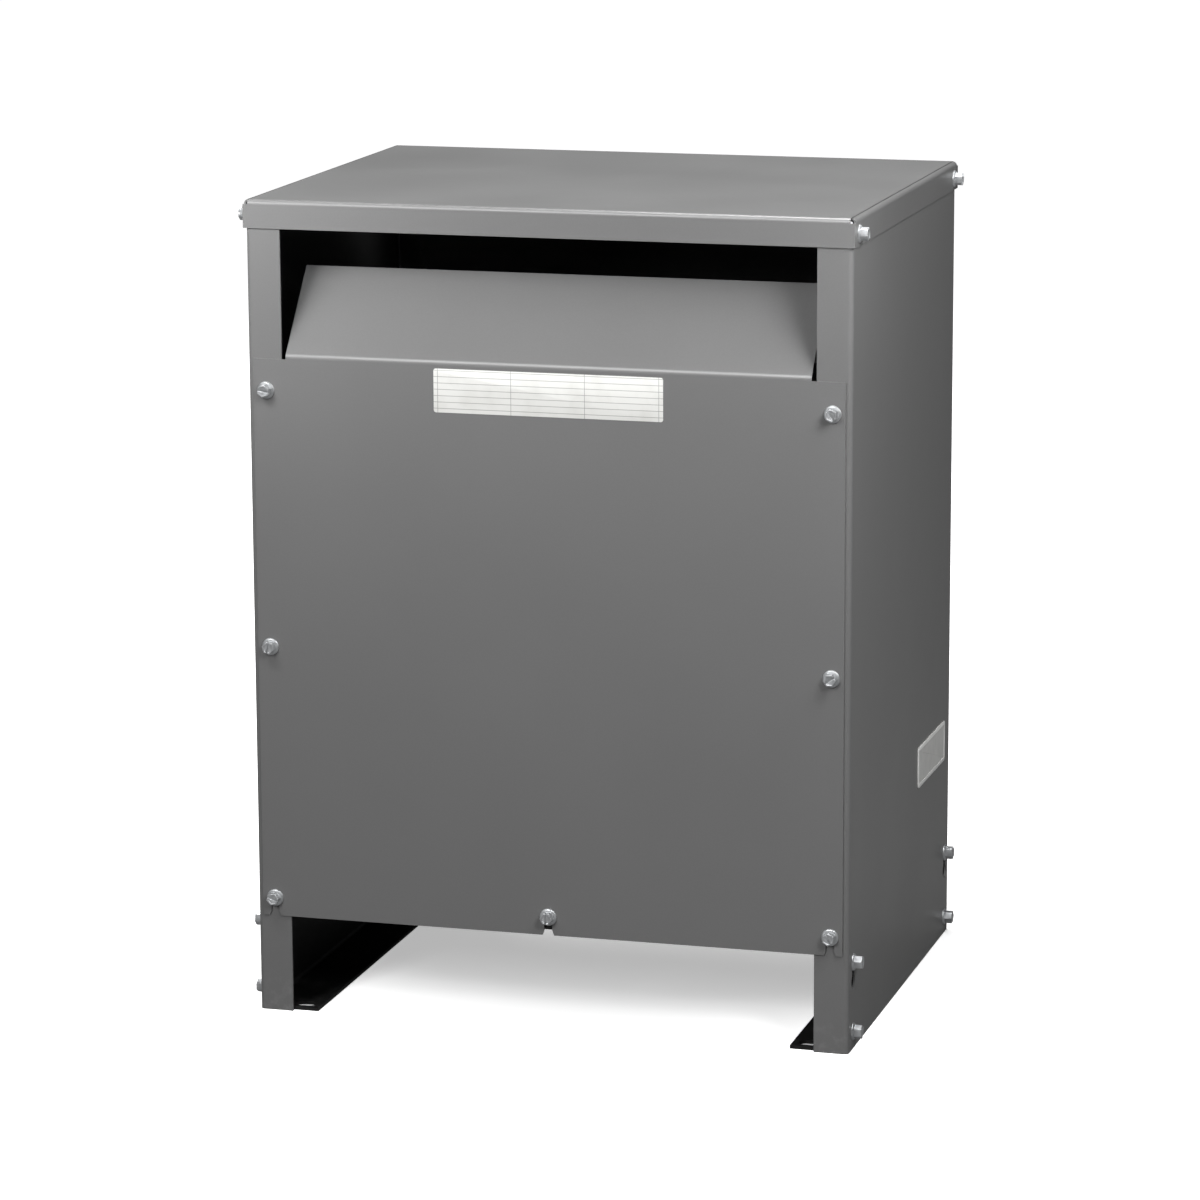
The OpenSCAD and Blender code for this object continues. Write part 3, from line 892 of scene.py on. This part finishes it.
@dataclass
class HexScrew:
    """Hexagon screw with a washer forged under its head, modelled standing on +Z with its seat at zero."""

    flange_mm: float = 14.6
    flange_h_mm: float = 1.6
    # Share of the washer's height that its rounded rim takes
    flange_round: float = 0.9
    across_flats_mm: float = 9.5
    head_h_mm: float = 7.8
    chamfer_mm: float = 0.45
    land_mm: float = 0.7
    dish_slope_mm: float = 0.4
    dish_mm: float = 0.5
    slot_w_mm: float = 1.6
    slot_d_mm: float = 1.7
    round_mm: float = 0.12
    shank_mm: float = 5.4
    shank_l_mm: float = 11.0
    pitch_mm: float = 1.4
    ridge_mm: float = 0.45
    tip_ratio: float = 0.6
    drive: Drive = Drive.SLOT
    sides: int = 40

    def head(self) -> bpy.types.Object:
        """Models the hexagon with its chamfered, dished top.

        Returns:
            The hexagon, sunk a little into the washer.
        """
        sunk = self.flange_h_mm / 2
        tall = self.head_h_mm - sunk
        radius = self.across_flats_mm / 2 / math.cos(math.pi / 6)
        piece = Bench.cylinder(6, radius * MM, tall * MM, (sunk + tall / 2) * MM)
        top = self.head_h_mm * MM
        with Bench.editing(piece):
            Bench.choose_edges(piece, lambda a, b: min(a.z, b.z) > top - SLACK)
            bpy.ops.mesh.bevel(offset=self.chamfer_mm * MM, segments=2, affect="EDGES")
            Bench.choose_faces(piece, lambda middle, normal: normal.z > LEVEL and middle.xy.length < SLACK)
            bpy.ops.mesh.inset(thickness=self.land_mm * MM, depth=0)
            bpy.ops.mesh.inset(thickness=self.dish_slope_mm * MM, depth=-self.dish_mm * MM)
        return piece

    def cut_slot(self, piece: bpy.types.Object) -> None:
        """Cuts the screwdriver slot across the head.

        Args:
            piece: the screw so far.
        """
        deep = self.slot_d_mm * MM
        bpy.ops.mesh.primitive_cube_add(size=1.0, location=(0, 0, self.head_h_mm * MM))
        cutter = Bench.added()
        cutter.scale = (self.flange_mm * MM, self.slot_w_mm * MM, 2 * deep)
        Bench.settle()
        Bench.combine(piece, cutter, "DIFFERENCE")

    def draw_shank(self, piece: bpy.types.Object) -> None:
        """Draws the ridged shank down from the seat, ring by ring, with a tapered end.

        Args:
            piece: the screw so far.
        """
        step = self.pitch_mm / 2 * MM
        crest = self.shank_mm / 2
        root = crest - self.ridge_mm
        rings = int(self.shank_l_mm / self.pitch_mm)
        with Bench.editing(piece):
            Bench.choose_faces(piece, lambda middle, normal: normal.z < -LEVEL and middle.z < SLACK)
            bpy.ops.mesh.inset(thickness=(self.flange_mm / 2 - root) * MM, depth=0)
            for ring in range(2 * rings):
                ratio = crest / root if ring % 2 == 0 else root / crest
                bpy.ops.mesh.extrude_region_move(TRANSFORM_OT_translate={"value": (0, 0, -step)})
                bpy.ops.transform.resize(value=(ratio, ratio, 1.0), center_override=(0, 0, 0))
            bpy.ops.mesh.extrude_region_move(TRANSFORM_OT_translate={"value": (0, 0, -2 * step)})
            tip = (self.tip_ratio, self.tip_ratio, 1.0)
            bpy.ops.transform.resize(value=tip, center_override=(0, 0, 0))

    def pattern(self) -> bpy.types.Object:
        """Models the whole screw once, for copying.

        Returns:
            The screw, at the origin.
        """
        flange_h = self.flange_h_mm * MM
        piece = Bench.cylinder(self.sides, self.flange_mm / 2 * MM, flange_h, flange_h / 2)
        with Bench.editing(piece):
            Bench.choose_edges(piece, lambda a, b: min(a.z, b.z) > flange_h - SLACK)
            rim = self.flange_round * flange_h
            bpy.ops.mesh.bevel(offset=rim, segments=3, affect="EDGES", clamp_overlap=True)
        Bench.combine(piece, self.head(), "UNION")
        if self.drive is Drive.SLOT:
            self.cut_slot(piece)
        Bench.round_edges(piece, self.round_mm * MM)
        self.draw_shank(piece)
        Bench.pick(piece)
        bpy.ops.object.shade_smooth_by_angle(angle=SMOOTH_BELOW)
        return piece


@dataclass
class HexNut:
    """Plain hexagon nut, modelled standing on +Z with its seat at zero."""

    across_flats_mm: float = 13.0
    tall_mm: float = 6.5
    bore_mm: float = 8.2
    bore_sides: int = 28
    chamfer_mm: float = 0.7
    round_mm: float = 0.2

    def pattern(self) -> bpy.types.Object:
        """Models the nut once, for copying.

        Returns:
            The nut, at the origin.
        """
        tall = self.tall_mm * MM
        radius = self.across_flats_mm / 2 / math.cos(math.pi / 6) * MM
        piece = Bench.cylinder(6, radius, tall, tall / 2)
        with Bench.editing(piece):
            Bench.choose_edges(piece, lambda a, b: abs(a.z - b.z) < SLACK)
            bpy.ops.mesh.bevel(offset=self.chamfer_mm * MM, segments=2, affect="EDGES")
        bore = Bench.cylinder(self.bore_sides, self.bore_mm / 2 * MM, 3 * tall, tall / 2)
        Bench.combine(piece, bore, "DIFFERENCE")
        Bench.round_edges(piece, self.round_mm * MM)
        bpy.ops.object.shade_smooth_by_angle(angle=SMOOTH_BELOW)
        return piece


@dataclass
class Fasteners:
    """Every screw, bolt and nut that shows, each on the face that carries it."""

    palette: Palette
    cover_screw_x_mm: float = 238.5
    cover_screw_z_mm: tuple[float, float, float] = (98.5, 313.87, 529.24)
    top_screw_y_mm: float = 183.0
    top_screw_z_mm: float = 672.25
    panel_bolt_y_mm: float = 180.0
    panel_bolt_z_mm: tuple[float, float] = (15.0, 74.0)
    rail_web_mm: float = 5.0
    board_screw_x_mm: float = 170.0
    board_screw_rise_mm: float = 20.0

    def row(self, pattern: bpy.types.Object, name: str, seats: list[Seat], turn_from: float = 0.4) -> None:
        """Copies one pattern to a row of seats and dresses the copies.

        Args:
            pattern: the shape to copy.
            name: what the copies are called, before their number.
            seats: where each goes and which way it faces.
            turn_from: the first one's turn, in radians.
        """
        for number, (seat, facing) in enumerate(seats, start=1):
            piece = Bench.copy_to(pattern, seat, facing, turn_from + number * TURN_STEP)
            Bench.dress(piece, f"{name}_{number}", self.palette[Slot.ZINC], Slot.ZINC)

    def cover_seats(self, face_y: float, facing: Facing) -> list[Seat]:
        """Lists the seats of one cover's screws.

        Args:
            face_y: Y of the cover's outer face.
            facing: the way it faces.

        Returns:
            Seven seats: three up each edge and one at the middle of the bottom edge.
        """
        low = self.cover_screw_z_mm[0]
        spots = [(s * self.cover_screw_x_mm, z) for z in self.cover_screw_z_mm for s in (-1, 1)]
        spots.append((0.0, low))
        return [(Vector((x * MM, face_y, z * MM)), facing) for x, z in spots]

    def rim_seats(self) -> list[Seat]:
        """Lists the seats of the top cover's screws.

        Returns:
            Two seats on each side of the rim.
        """
        low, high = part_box("top_cover")
        return [
            (Vector((x, s * self.top_screw_y_mm * MM, self.top_screw_z_mm * MM)), facing)
            for x, facing in ((low.x, Facing.LEFT), (high.x, Facing.RIGHT))
            for s in (-1, 1)
        ]

    def board_seats(self) -> list[Seat]:
        """Lists the seats of the terminal boards' screws.

        Returns:
            Four seats on each board, two at each end.
        """
        seats = []
        for node in ("upper_terminal_board", "lower_terminal_board"):
            low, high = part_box(node)
            middle = (low.z + high.z) / 2
            for x in (-self.board_screw_x_mm, self.board_screw_x_mm):
                for rise in (-self.board_screw_rise_mm, self.board_screw_rise_mm):
                    seats.append((Vector((x * MM, low.y, middle + rise * MM)), Facing.FRONT))
        return seats

    def panel_bolts(self) -> None:
        """Models the bolt and its nut and copies them to both side panels."""
        bolt = HexScrew(
            flange_h_mm=1.7,
            across_flats_mm=10.0,
            head_h_mm=8.0,
            shank_mm=7.4,
            shank_l_mm=15.0,
            drive=Drive.HEXAGON,
        ).pattern()
        nut = HexNut().pattern()
        for side, node, sign, out, back in (
            ("left", "left_side_panel", -1, Facing.LEFT, Facing.RIGHT),
            ("right", "right_side_panel", 1, Facing.RIGHT, Facing.LEFT),
        ):
            face = sign * max(abs(corner.x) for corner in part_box(node) if corner.x * sign > 0)
            inner = face - sign * self.rail_web_mm * MM
            spots = [(s * self.panel_bolt_y_mm * MM, z * MM) for s in (-1, 1) for z in self.panel_bolt_z_mm]
            bolt_seats = [(Vector((face, y, z)), out) for y, z in spots]
            nut_seats = [(Vector((inner, y, z)), back) for y, z in spots]
            self.row(bolt, f"{side}_panel_bolt", bolt_seats, turn_from=0.7)
            self.row(nut, f"{side}_panel_nut", nut_seats, turn_from=0.7)
        Bench.remove(bolt)
        Bench.remove(nut)

    def build(self) -> None:
        """Models each kind once and copies it to its places."""
        screw = HexScrew().pattern()
        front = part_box("front_cover")[0].y
        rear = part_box("rear_cover")[1].y
        self.row(screw, "front_cover_screw", self.cover_seats(front, Facing.FRONT))
        self.row(screw, "rear_cover_screw", self.cover_seats(rear, Facing.REAR), turn_from=1.1)
        self.row(screw, "top_cover_screw", self.rim_seats(), turn_from=0.9)
        self.row(screw, "terminal_board_screw", self.board_seats(), turn_from=0.2)
        Bench.remove(screw)
        self.panel_bolts()


@dataclass
class Plates:
    """The label on the front cover and the plate on the right side, both blank."""

    label_x_mm: tuple[float, float] = (-94.0, 99.0)
    label_z_mm: tuple[float, float] = (517.0, 553.0)
    label_t_mm: float = 0.3
    label_corner_mm: float = 2.0
    ruled_margin_mm: float = 3.5
    plate_y_mm: tuple[float, float] = (63.0, 173.0)
    plate_z_mm: tuple[float, float] = (160.0, 196.0)
    plate_t_mm: float = 0.9
    plate_corner_mm: float = 3.4
    border_mm: float = 2.9
    sunk_mm: float = 0.3
    corner_segments: int = 6
    # The rounding of a sheet's edge, as a share of its thickness
    edge_share: float = 0.3
    smooth_below_deg: float = 30.0

    def sheet(self, width: float, height: float, thick: float, corner: float) -> bpy.types.Object:
        """Models a flat sheet with round corners, lying at the origin with its face towards +Z.

        Args:
            width: size along X.
            height: size along Y.
            thick: thickness, upwards from zero.
            corner: radius of the corners.

        Returns:
            The sheet.
        """
        Bench.clear()
        bpy.ops.mesh.primitive_plane_add(size=1.0)
        piece = Bench.added()
        piece.scale = (width, height, 1.0)
        Bench.settle()
        with Bench.editing(piece):
            bpy.ops.mesh.select_all(action="SELECT")
            bpy.ops.mesh.bevel(offset=corner, segments=self.corner_segments, affect="VERTICES")
            bpy.ops.mesh.select_all(action="SELECT")
            bpy.ops.mesh.extrude_region_move(TRANSFORM_OT_translate={"value": (0, 0, thick)})
            bpy.ops.mesh.select_all(action="SELECT")
            bpy.ops.mesh.normals_make_consistent(inside=False)
            Bench.choose_edges(piece, lambda a, b: min(a.z, b.z) > thick - SLACK)
            bpy.ops.mesh.bevel(offset=thick * self.edge_share, segments=2, affect="EDGES")
        return piece

    def stick(self, piece: bpy.types.Object, place: Matrix) -> None:
        """Moves a sheet to the face that carries it and shades its edge.

        Args:
            piece: the sheet.
            place: where its origin and axes go.
        """
        Bench.pick(piece)
        piece.matrix_world = place
        Bench.settle()
        bpy.ops.object.shade_smooth_by_angle(angle=math.radians(self.smooth_below_deg))

    def front_label(self) -> None:
        """Models the blank ruled label on the front cover."""
        x0, x1 = self.label_x_mm
        z0, z1 = self.label_z_mm
        piece = self.sheet((x1 - x0) * MM, (z1 - z0) * MM, self.label_t_mm * MM, self.label_corner_mm * MM)
        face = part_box("front_cover")[0].y
        middle = Vector(((x0 + x1) / 2 * MM, face, (z0 + z1) / 2 * MM))
        self.stick(piece, Matrix.Translation(middle) @ Matrix.Rotation(math.pi / 2, 4, "X"))
        corner = Vector(((x0 + self.ruled_margin_mm) * MM, 0.0, (z0 + self.ruled_margin_mm) * MM))
        Bench.dress(piece, "front_label_blank", LabelFilm().material(corner), None)

    def side_plate(self) -> None:
        """Models the blank bordered plate on the right side panel."""
        y0, y1 = self.plate_y_mm
        z0, z1 = self.plate_z_mm
        thick = self.plate_t_mm * MM
        piece = self.sheet((y1 - y0) * MM, (z1 - z0) * MM, thick, self.plate_corner_mm * MM)
        with Bench.editing(piece):
            Bench.choose_faces(piece, lambda middle, normal: normal.z > LEVEL and middle.z > thick - SLACK)
            bpy.ops.mesh.inset(thickness=self.border_mm * MM, depth=0)
            bpy.ops.mesh.inset(thickness=self.sunk_mm * MM, depth=-self.sunk_mm * MM)
        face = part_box("right_side_panel")[1].x
        middle = Vector((face, (y0 + y1) / 2 * MM, (z0 + z1) / 2 * MM))
        turned = Matrix.Rotation(math.pi / 2, 4, "Z") @ Matrix.Rotation(math.pi / 2, 4, "X")
        self.stick(piece, Matrix.Translation(middle) @ turned)
        proud = face + thick
        finish = PrintedPlate().material(proud, proud - self.sunk_mm * MM)
        Bench.dress(piece, "side_plate_blank", finish, None)

    def build(self) -> None:
        """Models both plates."""
        self.front_label()
        self.side_plate()


@dataclass(frozen=True)
class SoftBox:
    """One lamp: where it hangs, the point that it faces, its width and height, power and reach."""

    name: str
    place: tuple[float, float, float]
    aim: tuple[float, float, float]
    size: tuple[float, float]
    watts: float
    reach: Reach = Reach.WHOLE

    def hang(self) -> None:
        """Adds the lamp to the scene."""
        turn = (Vector(self.aim) - Vector(self.place)).to_track_quat("-Z", "Y").to_euler()
        bpy.ops.object.light_add(type="AREA", location=self.place, rotation=turn)
        lamp = bpy.context.view_layer.objects.active
        lamp.name = self.name
        lamp.data.shape = "RECTANGLE"
        lamp.data.size, lamp.data.size_y = self.size
        lamp.data.energy = self.watts
        lamp.visible_diffuse, lamp.visible_glossy = self.reach.value


@dataclass
class Studio:
    """Pale floor, soft boxes and the camera."""

    azimuth_deg: float = 15.882
    elevation_deg: float = 11.926
    roll_deg: float = -0.253
    distance: float = 4.1682
    target: tuple[float, float, float] = (-0.01078, 0.0, 0.32487)
    lens_mm: float = 146.31
    sensor_mm: float = 36.0
    sight: float = 100.0
    floor_size: float = 60.0
    floor_colour: str = "#f0f0f0"
    floor_bounce: str = "#5a5a5a"
    # How much the floor glows by itself near the object, and under its feet, where the low glow is
    # painted shadow; far off it glows fully
    floor_lift: float = 0.46
    foot_painted_shadow_glow: float = 0.04
    # The oval of dimmer floor: its scale, its shift, and where the glow starts to rise and is full
    footprint: tuple[float, float, float] = (3.8, 5.5, 0.0)
    footprint_shift: tuple[float, float, float] = (0.0, -0.66, 0.0)
    fade: tuple[float, float] = (1.0, 2.0)
    # Middle and half width of each foot, and half the feet's length, which bound the painted shadow
    foot_x: tuple[float, float] = (0.229, 0.022)
    foot_y: float = 0.19
    # How strongly the floor and the surround show in gloss
    gloss_share: float = 0.05
    boxes: tuple[SoftBox, ...] = (
        SoftBox("key_box", (2.1, -2.5, 2.1), (0.0, 0.0, 0.4), (0.8, 0.8), 42.0, Reach.MATT),
        SoftBox("far_box", (-2.0, -6.5, 3.4), (0.0, 0.0, 0.5), (1.2, 2.0), 258.0, Reach.MATT),
        SoftBox("bend_box", (-1.66, -5.43, 4.93), (0.0, 0.0, 0.5), (1.2, 2.0), 315.0, Reach.GLOSS),
        SoftBox("strip_box", (-0.2, -0.48, 0.84), (-0.15, -0.2, 0.6), (0.4, 0.1), 1.0, Reach.MATT),
        SoftBox("corner_box", (-0.36, -0.42, 0.76), (-0.25, -0.2, 0.62), (0.12, 0.12), 0.85, Reach.MATT),
        SoftBox("edge_box", (0.46, -0.42, 0.8), (0.1, -0.18, 0.58), (0.16, 0.3), 1.36, Reach.MATT),
        SoftBox("right_box", (0.9, -0.5, 1.2), (0.25, 0.0, 0.5), (0.5, 0.5), 6.7),
        SoftBox("side_box", (0.5, 0.15, 0.95), (0.254, 0.05, 0.5), (0.2, 0.4), 0.53),
        SoftBox("top_box", (0.0, 0.2, 2.2), (0.0, 0.0, 0.5), (0.6, 1.0), 36.0),
        SoftBox("rear_box", (-2.4, 2.3, 1.6), (0.0, 0.1, 0.3), (1.0, 1.0), 70.0),
    )

    def camera(self) -> None:
        """Sets the camera at the photograph's viewing angle."""
        a, e, r = (math.radians(d) for d in (self.azimuth_deg, self.elevation_deg, self.roll_deg))
        back = Vector((math.sin(a) * math.cos(e), -math.cos(a) * math.cos(e), math.sin(e)))
        level = Vector((math.cos(a), math.sin(a), 0.0))
        upright = back.cross(level)
        right = math.cos(r) * level + math.sin(r) * upright
        up = math.cos(r) * upright - math.sin(r) * level
        turn = Matrix((right, up, back)).transposed()
        place = Vector(self.target) + back * self.distance
        bpy.ops.object.camera_add(location=place, rotation=turn.to_euler())
        camera = bpy.context.view_layer.objects.active
        camera.name = "camera"
        camera.data.lens = self.lens_mm
        camera.data.sensor_width = self.sensor_mm
        camera.data.clip_end = self.sight
        bpy.context.scene.camera = camera

    def shown(self, tree: bpy.types.NodeTree) -> bpy.types.Node:
        """Tells rays that show the studio from those that only carry its light.

        Args:
            tree: the floor's or the surround's node tree.

        Returns:
            A node that is 1 for camera and transmission rays, a small share for glossy ones, else 0.
        """
        path = add_node(tree, "LightPath", {})
        gloss = add_node(
            tree, "Math", {0: path.outputs["Is Glossy Ray"], 1: self.gloss_share}, operation="MULTIPLY"
        )
        seen = add_node(tree, "Math", {0: path.outputs["Is Camera Ray"], 1: gloss}, operation="MAXIMUM")
        through = path.outputs["Is Transmission Ray"]
        return add_node(tree, "Math", {0: seen, 1: through}, operation="MAXIMUM")

    def glow_level(self, tree: bpy.types.NodeTree) -> bpy.types.Node:
        """Sets how much each spot of the floor glows by itself.

        Args:
            tree: the floor's node tree.

        Returns:
            A node that rises from the object outwards and is low under its feet, as painted shadow there.
        """
        place = add_node(tree, "TexCoord", {}).outputs["Object"]
        across = add_node(
            tree, "Mapping", {"Vector": place, "Scale": self.footprint, "Location": self.footprint_shift}
        )
        away = add_node(tree, "VectorMath", {0: across}, operation="LENGTH").outputs["Value"]
        rise = add_node(
            tree,
            "MapRange",
            {
                "Value": away,
                "From Min": self.fade[0],
                "From Max": self.fade[1],
                "To Min": self.floor_lift,
                "To Max": 1.0,
            },
            interpolation_type="SMOOTHSTEP",
        )
        axes = add_node(tree, "SeparateXYZ", {0: place})
        aside = add_node(tree, "Math", {0: axes.outputs["X"]}, operation="ABSOLUTE")
        ahead = add_node(tree, "Math", {0: axes.outputs["Y"]}, operation="ABSOLUTE")
        # Painted shadow: the floor hardly glows under the feet
        middle, half = self.foot_x
        below = add_node(tree, "Math", {0: aside, 1: middle, 2: half}, operation="COMPARE")
        within = add_node(tree, "Math", {0: ahead, 1: self.foot_y}, operation="LESS_THAN")
        foot = add_node(tree, "Math", {0: below, 1: within}, operation="MULTIPLY")
        return add_node(tree, "Mix", {0: foot, 2: rise, 3: self.foot_painted_shadow_glow}, data_type="FLOAT")

    def floor(self) -> None:
        """Lays a pale floor that is white to the camera, keeps the object's shadow and has painted shadow
        under its feet.
        """
        Bench.clear()
        bpy.ops.mesh.primitive_plane_add(size=self.floor_size)
        floor = Bench.added()
        floor.name = "studio_floor"
        material = bpy.data.materials.new("studio_floor_pale")
        material.use_nodes = True
        tree = material.node_tree
        tree.nodes.remove(tree.nodes["Principled BSDF"])
        shown = self.shown(tree)
        lift = add_node(tree, "Math", {0: shown, 1: self.glow_level(tree)}, operation="MULTIPLY")
        tint = add_node(
            tree,
            "Mix",
            {0: shown, 6: linear(self.floor_bounce), 7: linear(self.floor_colour)},
            data_type="RGBA",
        )
        pale = add_node(tree, "BsdfDiffuse", {"Color": tint.outputs[2]})
        glow = add_node(tree, "Emission", {"Strength": lift})
        both = add_node(tree, "AddShader", {0: pale, 1: glow})
        side = add_node(tree, "NewGeometry", {})
        clear = add_node(tree, "BsdfTransparent", {})
        one_sided = add_node(tree, "MixShader", {0: side.outputs["Backfacing"], 1: both, 2: clear})
        tree.links.new(one_sided.outputs[0], tree.nodes["Material Output"].inputs["Surface"])
        floor.data.materials.append(material)

    def lights(self) -> None:
        """Hangs the soft boxes and sets a white surround that shows but gives no light."""
        for box in self.boxes:
            box.hang()
        world = bpy.data.worlds.new("studio_surround")
        world.use_nodes = True
        bpy.context.scene.world = world
        tree = world.node_tree
        surround = tree.nodes["Background"]
        feed(tree, surround.inputs["Color"], (1.0, 1.0, 1.0, 1.0))
        feed(tree, surround.inputs["Strength"], self.shown(tree))

    def build(self) -> None:
        """Sets the whole studio."""
        bpy.context.scene.view_settings.view_transform = "Standard"
        self.camera()
        self.floor()
        self.lights()


def dress_solids(frame: dict, palette: Palette) -> None:
    """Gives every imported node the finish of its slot.

    Args:
        palette: the finishes.
    """
    for part in frame["record"]["subparts"]:
        node = frame["nodes"][part["node"]]
        material = palette[Slot(part["material_slot"])]
        if not node.material_slots:
            node.data.materials.append(material)
        for place in node.material_slots:
            place.material = material
        LOG.info("%s: %s", part["node"], material.name)


def main() -> None:
    """Builds the dressed transformer in its studio."""
    logging.basicConfig(level=logging.INFO, format="%(name)s %(message)s")
    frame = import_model()
    Bench.clear()
    palette = Palette()
    Studio().build()
    dress_solids(frame, palette)
    Fasteners(palette).build()
    Plates().build()


if __name__ == "__main__":
    main()
